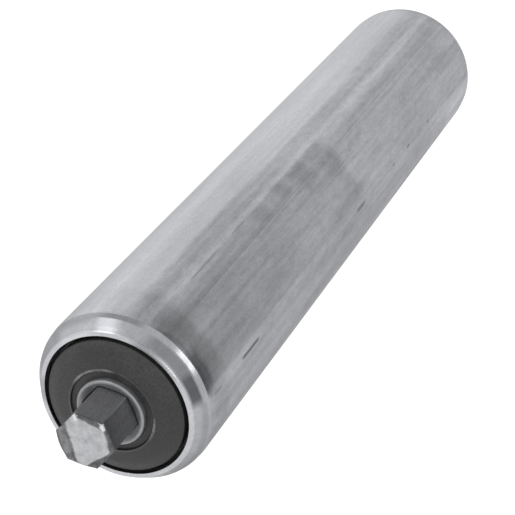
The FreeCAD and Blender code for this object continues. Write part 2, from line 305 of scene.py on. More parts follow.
def turnedTree():
    # the object's own mesh is the closed outline (radius in X, place in Y),
    # which is turned a full circle about Y
    inputs = {"Corners": "Int", "Steps": "Int", "Finish": "Material"}
    tree, given, output = startTree("turnedForm", inputs)
    across = plus(tree, given["Steps"], 1)
    down = plus(tree, given["Corners"], 1)
    inputs = {"Size X": 1.0, "Size Y": 1.0, "Vertices X": across, "Vertices Y": down}
    grid = addNode(tree, "GeometryNodeMeshGrid", inputs).outputs["Mesh"]
    index = addNode(tree, "GeometryNodeInputIndex").outputs[0]
    corner = calc(tree, "MODULO", calc(tree, "MODULO", index, down), given["Corners"])
    step = calc(tree, "FLOOR", over(tree, index, down))
    angle = times(tree, over(tree, step, given["Steps"]), 2 * math.pi)
    outline = addNode(tree, "GeometryNodeInputPosition").outputs[0]
    inputs = {"Geometry": given["Geometry"], "Value": outline, "Index": corner}
    kinds = {"data_type": "FLOAT_VECTOR", "domain": "POINT"}
    picked = addNode(tree, "GeometryNodeSampleIndex", inputs, **kinds).outputs[0]
    axes = apart(tree, picked)
    place = roundAxis(tree, axes["X"], angle, axes["Y"])
    turned = addNode(tree, "GeometryNodeSetPosition", {"Geometry": grid, "Position": place})
    inputs = {"Geometry": turned.outputs[0], "Distance": meshing["weld"]}
    closed = addNode(tree, "GeometryNodeMergeByDistance", inputs)
    endTree(tree, closed.outputs[0], output, given)
    return tree


def bakeTree(name, tree, sizes, outline=((0, 0, 0),), crease=meshing["crease"]):
    # runs the tree once and keeps the result as a plain mesh
    source = bpy.data.meshes.new(name + "Outline")
    source.from_pydata(list(outline), [(i, i + 1) for i in range(len(outline) - 1)], [])
    maker = bpy.data.objects.new(name + "Maker", source)
    scene.collection.objects.link(maker)
    modifier = maker.modifiers.new("shape", "NODES")
    modifier.node_group = tree
    for item in tree.interface.items_tree:
        if item.item_type == "SOCKET" and item.in_out == "INPUT" and item.name in sizes:
            modifier[item.identifier] = sizes[item.name]
    bpy.context.view_layer.update()
    shaped = maker.evaluated_get(bpy.context.evaluated_depsgraph_get())
    mesh = bpy.data.meshes.new_from_object(shaped)
    bpy.data.objects.remove(maker)
    return keepMesh(name, mesh, crease)


def keepMesh(name, mesh, crease):
    shell = bmesh.new()
    shell.from_mesh(mesh)
    bmesh.ops.recalc_face_normals(shell, faces=shell.faces)
    shell.to_mesh(mesh)
    shell.free()
    mesh.name = name
    mesh.set_sharp_from_angle(angle=math.radians(crease))
    piece = bpy.data.objects.new(name, mesh)
    scene.collection.objects.link(piece)
    return piece


def placed(corners, side):
    # distance inwards from an end plane becomes a place along Y, in mm
    return [(r, side * (tubeEnd / mm - station), rounding) for r, station, rounding in corners]


def outlineOf(corners, steps):
    # corners are (radius, place along Y, rounding) in mm, in order round a closed outline;
    # each rounding becomes a row of points
    points = []
    count = len(corners)
    for i, (r, y, rounding) in enumerate(corners):
        here = Vector((r, y))
        if rounding <= 0:
            points.append(here)
            continue
        back = Vector(corners[i - 1][:2]) - here
        on = Vector(corners[(i + 1) % count][:2]) - here
        half = back.angle(on) / 2
        longest = meshing["roundingLimit"] * min(back.length, on.length)
        setBack = min(rounding / math.tan(half), longest)
        radius = setBack * math.tan(half)
        inwards = (back.normalized() + on.normalized()).normalized()
        centre = here + inwards * (radius / math.sin(half))
        first = here + back.normalized() * setBack - centre
        last = here + on.normalized() * setBack - centre
        for k in range(steps):
            towards = first.lerp(last, k / (steps - 1)).normalized()
            points.append(centre + towards * radius)
    return [(p.x * mm, p.y * mm, 0) for p in points]


turnedForm = turnedTree()


def turnedPiece(name, corners, finish, around=meshing["around"],
                steps=meshing["roundingSteps"], crease=meshing["crease"]):
    outline = outlineOf(corners, steps)
    sizes = {"Corners": len(outline), "Steps": around, "Finish": finish}
    return bakeTree(name, turnedForm, sizes, outline, crease)


def stainShadeGroup():
    # one soft-edged patch on the tube, used both for stain marks and for painted light and shade: 1
    # outside it, 1 minus Depth inside
    tree = bpy.data.node_groups.new("stainShadePatch", "ShaderNodeTree")
    names = ["Angle", "Along", "Angle Low", "Angle High", "Angle Edge"]
    names += ["Along Low", "Along High", "Along Edge", "Depth"]
    for name in names:
        tree.interface.new_socket(name, in_out="INPUT", socket_type="NodeSocketFloat")
    tree.interface.new_socket("Factor", in_out="OUTPUT", socket_type="NodeSocketFloat")
    given = addNode(tree, "NodeGroupInput").outputs
    inside = 1.0
    for way in ("Angle", "Along"):
        edge = given[way + " Edge"]
        for end, outer, inner in ((" Low", 0, 1), (" High", 1, 0)):
            low = minus(tree, given[way + end], edge)
            high = plus(tree, given[way + end], edge)
            ramp = remap(tree, given[way], low, high, outer, inner)
            inside = times(tree, inside, ramp)
    factor = minus(tree, 1.0, times(tree, inside, given["Depth"]))
    output = addNode(tree, "NodeGroupOutput")
    tree.links.new(factor, output.inputs[0])
    return tree


stainShadePatch = stainShadeGroup()

tubeFinish = {
    "level": 0.43,                    # grey of clean zinc
    "tint": (0.975, 0.985, 1.03),
    "metallic": 0.85,
    "edgeTint": 0.45,                 # reflection at a glancing angle
    "roughness": 0.44,
    "roughnessSpread": 0.04,
    "endLevel": 0.88,
    "endRoughness": 0.24,             # ends burnished by the swaging tool
    "bodyFrom": (0.200, 0.212),       # where an end's finish gives way, radii from the end plane
    # scale, stretch along the tube, detail, shift, strength
    "streaks": [
        (75, 0.045, 3, 0, 0.34),
        (420, 0.022, 4, 1, 0.62),
        (48, 0.5, 5, 2, 0.34),
        (170, 0.15, 4, 3, 0.34),
        (520, 0.35, 3, 4, 0.40),
    ],
    "streakRoughness": 0.62,
    "cleanFrom": (84, 92),            # directions between which the clean side begins
    "cleanShare": 0.42,               # how strong the streaks are there
    "endShare": 0.5,                  # how strong all texture is on the swaged ends
    "drawn": {"scale": 420, "detail": 4, "roughness": 0.65, "along": 0.022},
    "grain": {"scale": 1300, "detail": 3, "roughness": 0.7, "along": 0.7},
    "grainStrength": 0.50,
    "relief": (0.6, 0.4),             # shares of the drawn lines and of the grain
    "reliefDepth": 0.00004,
    "reliefStrength": 0.5,
    "wander": (4.4, 0.2),             # stain edges wander within this width: degrees, tube radii
    "wanderRound": {"scale": 130, "detail": 3, "roughness": 0.55, "along": 0.6},
    "wanderAlong": {"scale": 110, "detail": 3, "roughness": 0.55, "along": 0.8, "shift": (3, 5, 1)},
    "straightBelow": 4,               # stains narrower than this have straight edges, degrees
    # stain marks, and painted light and shade: low and high direction and edge softness;
    # start, end and edge softness in tube radii from the near end; then depth, below 0 for a lighter
    # patch
    "stainsAndPaintedLight": {
        "handling": (17.5, 72.0, 1.2, 0.22, 4.88, 0.10, 0.14),
        "handlingUpper": (71.0, 88.0, 2.0, 0.55, 2.9, 0.5, 0.12),
        "nearHandling": (17.5, 64.0, 4.0, 0.00, 2.6, 0.9, 0.19),
        "handlingTipOne": (18.0, 27.0, 3.0, 4.80, 4.99, 0.04, 0.12),
        "handlingTipTwo": (50.0, 61.0, 4.0, 4.80, 4.97, 0.04, 0.12),
        "handlingRim": (19.0, 50.0, 4.0, 4.62, 4.87, 0.07, 0.05),
        # painted shade on the right side and on the top towards the near end; painted light over the
        # upper and left side, along one strip, and low on the right towards the far end
        "rightShade": (2.0, 22.0, 4.0, 0.20, 5.0, 0.5, 0.08),
        "paintedLightUpper": (70.5, 175.0, 0.8, 0.75, 9.8, 0.20, -0.08),
        "upperShade": (74.0, 106.0, 8.0, 0.30, 4.2, 1.2, 0.15),
        "paintedLightFarEdge": (-60.0, 8.0, 5.0, 7.9, 9.9, 0.3, -0.12),
        "farGlow": (-60.0, 5.0, 6.0, 8.60, 9.9, 0.20, -0.26),
        "farGlint": (-3.0, 14.0, 4.0, 7.50, 8.6, 0.20, -0.12),
        "sideGlow": (66.0, 74.0, 2.0, 5.0, 9.8, 0.2, -0.10),
        # painted shade behind the swaged shoulder, round most of it, and in the groove behind its
        # ridge
        "nearShoulder": (-70.0, 18.0, 8.0, 0.20, 0.64, 0.12, 0.14),
        "shoulderPaintedShade": (14.0, 74.0, 6.0, 0.20, 0.52, 0.16, 0.22),
        "shoulderLine": (12.0, 66.0, 5.0, 0.205, 0.27, 0.03, 0.34),
        "shoulderDark": (16.0, 42.0, 5.0, 0.18, 0.36, 0.06, 0.50),
        "shoulderSoft": (28.0, 48.0, 6.0, 0.66, 1.50, 0.20, 0.08),
        "shoulderWide": (20.0, 66.0, 8.0, 0.10, 0.64, 0.07, 0.24),
        "shoulderUpper": (62.0, 86.0, 6.0, 0.10, 0.72, 0.16, 0.19),
        "ridgeLine": (66.0, 150.0, 8.0, 0.195, 0.235, 0.012, 0.07),
        # streaks, blotches, scratches, drawing lines and weld marks on the zinc
        "upperStreak": (76.0, 87.0, 1.5, 0.40, 9.6, 0.30, 0.08),
        "lowerStreak": (58.0, 71.0, 2.0, 0.20, 9.7, 0.30, 0.06),
        "blotchOne": (60.0, 72.0, 2.0, 3.40, 3.72, 0.12, 0.16),
        "blotchTwo": (51.0, 71.0, 3.0, 3.88, 4.26, 0.10, 0.20),
        "blotchThree": (60.0, 71.0, 2.0, 2.76, 3.05, 0.12, 0.14),
        "blotchFour": (24.0, 34.0, 3.0, 3.55, 3.75, 0.10, 0.07),
        "blotchFive": (46.0, 69.0, 4.0, 4.45, 4.86, 0.10, 0.10),
        "farBlotch": (30.0, 54.0, 5.0, 8.35, 8.95, 0.25, 0.07),
        "farSmear": (28.0, 44.0, 4.0, 7.4, 9.0, 0.4, 0.04),
        "scratchOne": (70.0, 71.3, 0.3, 1.20, 1.86, 0.10, 0.28),
        "scratchTwo": (70.2, 71.3, 0.3, 2.30, 2.62, 0.08, 0.26),
        "drawLine": (57.9, 58.7, 0.3, 0.90, 9.7, 0.30, 0.10),
        "drawGleam": (56.7, 57.5, 0.3, 0.90, 9.7, 0.30, -0.09),
        "drawLineTwo": (43.1, 43.8, 0.3, 0.6, 9.2, 0.5, 0.07),
        "drawLineThree": (41.2, 42.0, 0.3, 5.1, 9.4, 0.5, 0.10),
        "weldOne": (10.9, 12.6, 0.5, 0.31, 0.49, 0.03, 0.30),
        "weldTwo": (10.7, 12.7, 0.4, 1.05, 1.48, 0.04, 0.62),
        "weldThree": (10.2, 12.9, 0.8, 4.68, 4.95, 0.06, 0.38),
        "weldFour": (10.8, 12.4, 0.6, 6.07, 6.15, 0.03, 0.40),
        "weldFive": (10.6, 12.6, 0.6, 6.68, 6.78, 0.03, 0.40),
        "weldSix": (10.8, 12.5, 0.6, 7.55, 7.65, 0.03, 0.32),
        # on the swaged end itself: a painted dark reflection and painted shade on the band, cone and
        # ridge, a painted highlight on the upper band, a lip line of worn bright zinc with a painted
        # highlight, and a darker patch by the lip
        "bandPaintedDarkReflection": (14.0, 34.0, 4.0, 0.026, 0.126, 0.014, 0.68),
        "bandShade": (34.0, 66.0, 5.0, 0.025, 0.130, 0.014, 0.36),
        "bandLight": (106.0, 134.0, 5.0, 0.00, 0.100, 0.040, -0.34),
        "bandSide": (-75.0, 14.0, 6.0, 0.09, 0.16, 0.03, 0.22),
        "ridgeShade": (74.0, 132.0, 5.0, 0.140, 0.205, 0.010, 0.34),
        "coneShade": (86.0, 101.0, 4.0, 0.060, 0.140, 0.012, 0.14),
        "lipLine": (-170.0, 170.0, 5.0, -0.10, 0.015, 0.006, -0.32),
        "lipGap": (56.0, 74.0, 5.0, -0.10, 0.022, 0.008, 0.30),
    },
}


def stainAndShadeLevels(tree, place, angle, along):
    # grey of the swaged ends and of the body between them, with stain marks and painted light and
    # shade
    degrees, radii = tubeFinish["wander"]
    waver = noise(tree, place, **tubeFinish["wanderRound"])
    looseAngle = plus(tree, angle, swing(tree, waver, degrees))
    waver = noise(tree, place, **tubeFinish["wanderAlong"])
    looseAlong = plus(tree, along, swing(tree, waver, radii))
    level = tubeFinish["level"]
    levels = {"end": level * tubeFinish["endLevel"], "body": level}
    for name, sizes in tubeFinish["stainsAndPaintedLight"].items():
        low, high, end = sizes[0], sizes[1], sizes[4]
        part = "end" if end < tubeFinish["bodyFrom"][1] else "body"
        straight = high - low < tubeFinish["straightBelow"] or part == "end"
        spot = (angle, along) if straight else (looseAngle, looseAlong)
        inputs = dict(enumerate(spot + sizes))
        patch = addNode(tree, "ShaderNodeGroup", inputs, node_tree=stainShadePatch, label=name)
        levels[part] = times(tree, levels[part], patch.outputs[0])
    return levels


def makeTubeFinish():
    made, tree, surface, place = startFinish("galvanisedTube")
    axes = apart(tree, place)
    angle = headingOf(tree, axes)
    along = over(tree, plus(tree, axes["Y"], tubeEnd), tubeRadius)
    levels = stainAndShadeLevels(tree, place, angle, along)
    inwards = minus(tree, tubeEnd, calc(tree, "ABSOLUTE", axes["Y"]))
    body = remap(tree, over(tree, inwards, tubeRadius), *tubeFinish["bodyFrom"], 0, 1)
    level = mixed(tree, body, levels["end"], levels["body"])
    # streaks and mottling, weaker on the clean upper side and on the ends
    texture = remap(tree, body, 0, 1, tubeFinish["endShare"], 1)
    worn = remap(tree, angle, *tubeFinish["cleanFrom"], 1, tubeFinish["cleanShare"])
    spread = 0.0
    for scale, stretch, detail, shift, strength in tubeFinish["streaks"]:
        places = (shift, 0, shift * 2)
        pattern = noise(tree, place, scale, detail, tubeFinish["streakRoughness"], stretch, places)
        spread = plus(tree, spread, swing(tree, pattern, strength))
    spread = times(tree, spread, times(tree, worn, texture))
    level = times(tree, level, plus(tree, 1.0, spread))
    drawn = noise(tree, place, **tubeFinish["drawn"])
    grain = noise(tree, place, **tubeFinish["grain"])
    grainStrength = times(tree, texture, tubeFinish["grainStrength"])
    level = times(tree, level, plus(tree, 1.0, swing(tree, grain, grainStrength)))
    ends, middle = tubeFinish["endRoughness"], tubeFinish["roughness"]
    dull = remap(tree, body, 0, 1, ends, middle, smooth=False)
    change = tubeFinish["roughnessSpread"]
    dull = plus(tree, dull, vary(tree, drawn, -change, change))
    paint(tree, surface, level, tubeFinish["tint"], dull)
    surface.inputs["Metallic"].default_value = tubeFinish["metallic"]
    surface.inputs["Specular Tint"].default_value = (tubeFinish["edgeTint"],) * 3 + (1,)
    lines, grains = tubeFinish["relief"]
    relief = plus(tree, times(tree, drawn, lines), times(tree, grain, grains))
    bump(tree, surface, relief, tubeFinish["reliefDepth"], tubeFinish["reliefStrength"])
    return made


steelFinishes = {
    # level, tint, metallic, roughness, grain scale, grain depth, variation
    "coreSteel": (0.31, (0.98, 0.99, 1.02), 0.9, 0.54, 700, 0.00002, 0.10),
    "bearingSteel": (0.60, (0.99, 0.99, 1.0), 1.0, 0.16, 1600, 0.000004, 0.04),
    "springSteel": (0.42, (0.98, 0.99, 1.0), 1.0, 0.32, 1200, 0.00001, 0.10),
}
steelTexture = {
    "mottle": {"scale": 160, "detail": 4},
    "drawn": {"scale": 600, "detail": 3, "along": 0.03},
    "grainDetail": 3,
    "smoother": 0.05,                 # how far the roughness wanders down, and up
    "rougher": 0.06,
    "reliefStrength": 0.6,
}


def makeSteel(name):
    level, tint, metallic, roughness, scale, depth, spread = steelFinishes[name]
    made, tree, surface, place = startFinish(name)
    mottle = noise(tree, place, **steelTexture["mottle"])
    drawn = noise(tree, place, **steelTexture["drawn"])
    grain = noise(tree, place, scale, steelTexture["grainDetail"])
    tone = times(tree, level, vary(tree, mottle, 1 - spread, 1 + spread))
    tone = times(tree, tone, vary(tree, drawn, 1 - spread / 2, 1 + spread / 2))
    low, high = roughness - steelTexture["smoother"], roughness + steelTexture["rougher"]
    paint(tree, surface, tone, tint, vary(tree, mottle, low, high))
    surface.inputs["Metallic"].default_value = metallic
    bump(tree, surface, grain, depth, steelTexture["reliefStrength"])
    return made


# sizes in mm
axleBar = {
    "across": 17.46,                  # between opposite flats
    "turn": 21.5,                     # flats turned from level, degrees
    "cornerRound": 0.35,
    "grooveRadius": 8.95,
    "grooveRoom": 0.05,               # either side of a stop ring
    "flatSteps": 12,
    "cornerSteps": 5,
    "faceRings": 24,
    # sheared ends, a little out of square: degrees, and the direction of the longest side
    "slant": 3.7,
    "longSide": 236,
    # metal pushed outwards by the shear: direction, size, how narrow
    "spread": [(236, 0.34, 0.7), (200, 0.92, 8)],
    "spreadLength": 2.4,
    "spreadSteps": (0.6, 0.8, 1.0),   # shares of that length with a ring of points
    "spreadCurve": 1.5,
    "spreadRoom": 0.1,                # least distance from the face to the next ring
    # edges rolled over: direction, start from the axis, depth at the flat
    "rolls": [
        (197, 4.0, 0.5), (309, 6.6, 0.5), (74.6, 6.5, 0.4), (14.5, 7.1, 0.3), (258, 8.5, 0.12),
    ],
    "rollLimit": 1.2,                 # most that an edge falls, in those depths
    # corners that stay sharp, and where each one starts
    "burrs": [(112, 9.0), (50, 8.7)],
    "burrWidth": 0.5,                 # from a burr's start to its full height
    "weld": 0.0001,                   # places closer than this are joined
    "crease": 22,
}
barFlat = axleBar["across"] / 2
barCorner = barFlat / math.cos(math.radians(30))

# sizes in metres
axleFinish = {
    "tint": (0.98, 0.99, 1.02),
    "mottle": {"scale": 180, "detail": 4},
    "drawn": {"scale": 700, "detail": 3, "along": 0.02},
    "grain": {"scale": 1400, "detail": 2},
    "rough": {"scale": 420, "detail": 4, "shift": (3, 1, 2)},
    # shear marks on the face
    "marksScale": 1500,
    "marksTurn": -24,
    "marksStretch": 0.16,
    "marksDetail": 3,
    # the drawn flats
    "flatLevel": 0.125,
    "flatRoughness": 0.58,
    "flatDrawn": 0.04,
    "flatGrain": 0.14,
    # painted shade on one flat and painted light on the next: direction, tone, gain by the collar
    "flats": ((axleBar["turn"], 0.62, 2.3), (axleBar["turn"] + 60, 1.20, 1.5)),
    "flatEdge": (0.00845, 0.00865),   # a place further out than this is on that flat
    # painted light on the flats, growing over this distance from the end
    "gain": (0.003, 0.015),           # the gain builds up over this distance from the end
    # the clean sheared face, and how deep it goes
    "faceLevel": 0.43,
    "faceRoughness": 0.42,
    "faceDepth": (0.000048, 0.000192),
    "faceRagged": 0.00004,
    "faceMarks": 0.02,
    "faceRough": 0.14,
    # rolled-over metal, torn on one side: its start from the axis and its rim
    "rollLevel": 0.13,
    "rollDepth": (0.00105, 0.0013),
    "rollRough": (0.7, 1.35),
    "tornSide": 197,
    "tornLevel": 0.22,
    "tornStart": (0.0053, 0.0073),
    "tornRim": (0.0088, 0.0094),
    "tornRimShare": 0.25,
    "tornRagged": 0.0004,
    # painted highlights on two burred corners: direction, start, half width
    "paintedCornerGlints": ((112, 0.0074, 0.00035), (46, 0.0079, 0.0007)),
    "cornerLevel": 0.68,
    "cornerEdge": 0.0006,
    "cornerDepth": (0.0003, 0.0009),
    "cornerRagged": 0.0001,
    "roughnessSpread": 0.04,
    "marksRelief": 0.7,
    "reliefDepth": 0.00003,
    "reliefStrength": 0.5,
}


def depthBelowFace(tree, axes, below):
    # depth below the slanted plane of the sheared end
    slope = math.tan(math.radians(axleBar["slant"]))
    away = minus(tree, barCorner * mm, reach(tree, axes, axleBar["longSide"]))
    return minus(tree, below, times(tree, away, slope))


def shearMarks(tree, place):
    turn = (0, math.radians(axleFinish["marksTurn"]), 0)
    inputs = {"Vector": place, "Rotation": turn, "Scale": (1, 1, axleFinish["marksStretch"])}
    turned = addNode(tree, "ShaderNodeMapping", inputs).outputs[0]
    inputs = {"Vector": turned, "Scale": axleFinish["marksScale"], "Detail": axleFinish["marksDetail"]}
    return addNode(tree, "ShaderNodeTexNoise", inputs).outputs["Fac"]


def flatTone(tree, axes, below, drawn, grain):
    lines, grains = axleFinish["flatDrawn"], axleFinish["flatGrain"]
    tone = times(tree, axleFinish["flatLevel"], vary(tree, drawn, 1 - lines, 1 + lines))
    tone = times(tree, tone, vary(tree, grain, 1 - grains, 1 + grains))
    # painted shade on one flat and painted light on the next, growing towards the collar
    for heading, factor, gain in axleFinish["flats"]:
        level = remap(tree, below, *axleFinish["gain"], factor, factor * gain, smooth=False)
        onFlat = remap(tree, reach(tree, axes, heading), *axleFinish["flatEdge"], 1, level)
        tone = times(tree, tone, onFlat)
    return tone


def rollTone(tree, axes, rough):
    change = axleFinish["tornRagged"]
    torn = plus(tree, reach(tree, axes, axleFinish["tornSide"]), vary(tree, rough, -change, change))
    onTorn = remap(tree, torn, *axleFinish["tornStart"], 0, 1)
    rim = remap(tree, torn, *axleFinish["tornRim"], 1, axleFinish["tornRimShare"])
    onTorn = times(tree, onTorn, rim)
    tone = mixed(tree, onTorn, axleFinish["rollLevel"], axleFinish["tornLevel"])
    return times(tree, tone, vary(tree, rough, *axleFinish["rollRough"]))


def paintCornerGlints(tree, axes, depth, mottle, tone):
    change = axleFinish["cornerRagged"]
    # painted highlight on each burred corner, over the face and just down the sides
    for heading, start, half in axleFinish["paintedCornerGlints"]:
        outwards = plus(tree, reach(tree, axes, heading), vary(tree, mottle, -change, change))
        sideways = calc(tree, "ABSOLUTE", reach(tree, axes, heading + 90))
        corner = remap(tree, outwards, start, start + axleFinish["cornerEdge"], 0, 1)
        corner = times(tree, corner, remap(tree, sideways, half, half * 2, 1, 0))
        corner = times(tree, corner, remap(tree, depth, *axleFinish["cornerDepth"], 1, 0))
        tone = mixed(tree, corner, tone, axleFinish["cornerLevel"])
    return tone


def makeAxleFinish():
    made, tree, surface, place = startFinish("axleSteel")
    axes = apart(tree, place)
    below = minus(tree, axleEnd, calc(tree, "ABSOLUTE", axes["Y"]))
    depth = depthBelowFace(tree, axes, below)
    mottle = noise(tree, place, **axleFinish["mottle"])
    drawn = noise(tree, place, **axleFinish["drawn"])
    grain = noise(tree, place, **axleFinish["grain"])
    rough = noise(tree, place, **axleFinish["rough"])
    marks = shearMarks(tree, place)
    change = axleFinish["faceRagged"]
    ragged = plus(tree, depth, vary(tree, mottle, -change, change))
    face = remap(tree, ragged, *axleFinish["faceDepth"], 1, 0)
    rolled = remap(tree, depth, *axleFinish["rollDepth"], 1, 0)
    change = axleFinish["faceMarks"]
    faceTone = times(tree, axleFinish["faceLevel"], vary(tree, marks, 1 - change, 1 + change))
    change = axleFinish["faceRough"]
    faceTone = times(tree, faceTone, vary(tree, rough, 1 - change, 1 + change))
    flat = flatTone(tree, axes, below, drawn, grain)
    tone = mixed(tree, rolled, flat, rollTone(tree, axes, rough))
    tone = mixed(tree, face, tone, faceTone)
    tone = paintCornerGlints(tree, axes, depth, mottle, tone)
    flats, ends = axleFinish["flatRoughness"], axleFinish["faceRoughness"]
    dull = remap(tree, face, 0, 1, flats, ends, smooth=False)
    change = axleFinish["roughnessSpread"]
    dull = plus(tree, dull, vary(tree, grain, -change, change))
    paint(tree, surface, tone, axleFinish["tint"], dull)
    surface.inputs["Metallic"].default_value = 1.0
    relief = times(tree, times(tree, marks, face), axleFinish["marksRelief"])
    relief = plus(tree, relief, grain)
    bump(tree, surface, relief, axleFinish["reliefDepth"], axleFinish["reliefStrength"])
    return made


plasticFinishes = {
    # level, tint, roughness, grain scale, grain depth, variation
    "shieldPlastic": (0.025, (0.99, 0.99, 1.02), 0.50, 1500, 0.00007, 0.36),
    "housingPlastic": (0.020, (1, 1, 1.02), 0.50, 1200, 0.00003, 0.15),
    "cagePlastic": (0.55, (1.0, 0.96, 0.86), 0.45, 1500, 0.00001, 0.05),
    "sealRubber": (0.015, (1, 1, 1), 0.65, 1500, 0.00002, 0.15),
}
plasticTexture = {
    "cloud": {"scale": 110, "detail": 4},
    "grainDetail": 2,
    "roughnessSpread": 0.06,
    "reliefStrength": 0.6,
}
# sizes in metres
shieldWearAndPaintedLight = {
    # painted shade low on the shield and painted light high on it: its tone at two heights from the
    # axis
    "lowest": -0.020,
    "lowTone": 0.45,
    "highest": 0.020,
    "highTone": 1.40,
    # rubbed bead round the recess, made smoother, and the arcs where it carries a painted highlight
    "beadFrom": 0.01475,
    "beadTo": 0.01590,
    "beadEdge": 0.0002,
    "smoother": 0.26,
    "lighter": 6.0,
    "arcs": ((88, 148), (-28, 2)),
    "arcEdge": 8,
}


def makePlastic(name):
    level, tint, roughness, scale, depth, spread = plasticFinishes[name]
    made, tree, surface, place = startFinish(name)
    cloud = noise(tree, place, **plasticTexture["cloud"])
    grain = noise(tree, place, scale, plasticTexture["grainDetail"])
    tone = times(tree, level, vary(tree, cloud, 1 - spread, 1 + spread))
    tone = times(tree, tone, vary(tree, grain, 1 - spread, 1 + spread))
    change = plasticTexture["roughnessSpread"]
    dull = vary(tree, cloud, roughness - change, roughness + change)
    if name == "shieldPlastic":
        tone, dull = paintShieldWearAndLight(tree, apart(tree, place), tone, dull)
    paint(tree, surface, tone, tint, dull)
    bump(tree, surface, grain, depth, plasticTexture["reliefStrength"])
    return made


def paintShieldWearAndLight(tree, axes, tone, dull):
    heights = shieldWearAndPaintedLight["lowest"], shieldWearAndPaintedLight["highest"]
    tones = shieldWearAndPaintedLight["lowTone"], shieldWearAndPaintedLight["highTone"]
    # painted shade towards the bottom of the shield, painted light towards the top
    tone = times(tree, tone, remap(tree, axes["Z"], *heights, *tones, smooth=False))
    angle = headingOf(tree, axes)
    squares = [times(tree, axes[name], axes[name]) for name in ("X", "Z")]
    radius = calc(tree, "SQRT", plus(tree, *squares))
    start, end, edge = shieldWearAndPaintedLight["beadFrom"], shieldWearAndPaintedLight["beadTo"], shieldWearAndPaintedLight["beadEdge"]
    rise = remap(tree, radius, start, start + edge, 0, 1)
    ring = times(tree, rise, remap(tree, radius, end - edge, end, 1, 0))
    dull = minus(tree, dull, times(tree, ring, shieldWearAndPaintedLight["smoother"]))
    # painted highlight on the bead along two arcs
    edge = shieldWearAndPaintedLight["arcEdge"]
    for start, end in shieldWearAndPaintedLight["arcs"]:
        rise = remap(tree, angle, start - edge, start + edge, 0, 1)
        arc = times(tree, rise, remap(tree, angle, end - edge, end + edge, 1, 0))
        gleam = times(tree, times(tree, ring, arc), shieldWearAndPaintedLight["lighter"])
        tone = times(tree, tone, plus(tree, 1.0, gleam))
    return tone, dull


finishes = {"galvanisedTube": makeTubeFinish(), "axleSteel": makeAxleFinish()}
finishes.update({name: makeSteel(name) for name in steelFinishes})
finishes.update({name: makePlastic(name) for name in plasticFinishes})
print("finishes:", len(finishes))


# sizes in mm
swage = {
    "wall": 1.65,
    # depth under the tube's surface, distance from the end plane, rounding
    "outside": [
        (5.45, 0, 0.5), (3.95, 0, 0.6), (0.94, 4.45, 0.5), (0.30, 6.35, 0.3),
        (0.46, 6.62, 0.15), (0.28, 7.3, 0.4), (0, 9.6, 5.0),
    ],
    "inside": [(0, 9.0, 0), (0.28, 6.5, 0), (1.70, 3.8, 0)],
    "mouthLand": 0.4,
    "around": 288,
    "roundingSteps": 9,
    "crease": 40,
}


def makeTube():
    radius = tubeRadius / mm
    bore = radius - swage["wall"]
    outside = [(radius - drop, station, rounding) for drop, station, rounding in swage["outside"]]
    inside = [(bore - drop, station, rounding) for drop, station, rounding in swage["inside"]]
    inside.append((outside[0][0], swage["mouthLand"], 0))
    near, far = -1, 1
    corners = placed(outside, near) + placed(outside[::-1], far)
    corners += placed(inside[::-1], far) + placed(inside, near)
    tube = turnedPiece("swagedTube", corners, finishes["galvanisedTube"],
                       swage["around"], swage["roundingSteps"], swage["crease"])
    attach(tube, "roller_shell")
    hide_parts("roller_tube")


makeTube()
print("tube: turned with both swaged ends")


# sizes in mm
shieldSizes = {
    "wall": 1.6,
    "rise": 3.1,
    # recess round the collar, with a low bead outside it
    "collar": 12.25,
    "collarRound": 0.15,
    "recessWidth": 2.45,
    "recessDepth": 0.9,
    "recessRound": 0.35,
    "slope": 0.35,
    "slopeRound": 0.3,
    "crown": 0.27,
    "crownWidth": 0.62,
    "crownRound": 0.5,
    # dome down to the edge
    "kneeInset": 3.6,
    "kneeRise": 1.75,
    "kneeRound": 16,
    "edgeRound": 0.5,
    # hub and two skirts behind it
    "hub": 2.75,
    "depth": 6.0,
    "skirtEnd": 4.1,
    "skirtRound": 0.2,
    "cornerRound": 0.3,
    "innerSkirt": 21.1,
    "innerSkirtWall": 1.4,
    "innerSkirtEnd": 5.6,
}


def makeShield(side, label):
    s = shieldSizes
    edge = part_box(label + "_dust_shield")[1].x / mm
    rim = s["collar"] + s["recessWidth"]
    bead = rim + s["slope"]
    floor = s["recessDepth"] - s["rise"]
    under = s["wall"] - s["kneeRise"]
    hub = s["collar"] + s["hub"]
    inner = s["innerSkirt"] - s["innerSkirtWall"]
    # radius, distance in from the tube's end plane, rounding
    corners = [
        (s["collar"], floor, s["collarRound"]),
        (rim, floor, s["recessRound"]),
        (bead, -s["rise"], s["slopeRound"]),
        (bead + s["crownWidth"], s["crown"] - s["rise"], s["crownRound"]),
        (edge - s["kneeInset"], -s["kneeRise"], s["kneeRound"]),
        (edge, 0, s["edgeRound"]),
        (edge, s["skirtEnd"], s["skirtRound"]),
        (edge - s["wall"], s["skirtEnd"], s["skirtRound"]),
        (edge - s["wall"], s["wall"], s["cornerRound"]),
        (s["innerSkirt"], under, 0),
        (s["innerSkirt"], s["innerSkirtEnd"], 0),
        (inner, s["innerSkirtEnd"], 0),
        (inner, under, 0),
        (hub, floor + s["wall"], 0),
        (hub, s["depth"], 0),
        (s["collar"], s["depth"], 0),
    ]
    shield = turnedPiece(label + "Shield", placed(corners, side), finishes["shieldPlastic"])
    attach(shield, "bearing_cores")
    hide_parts(label + "_dust_shield")


makeShield(-1, "near")
makeShield(1, "far")
print("shields: both turned")


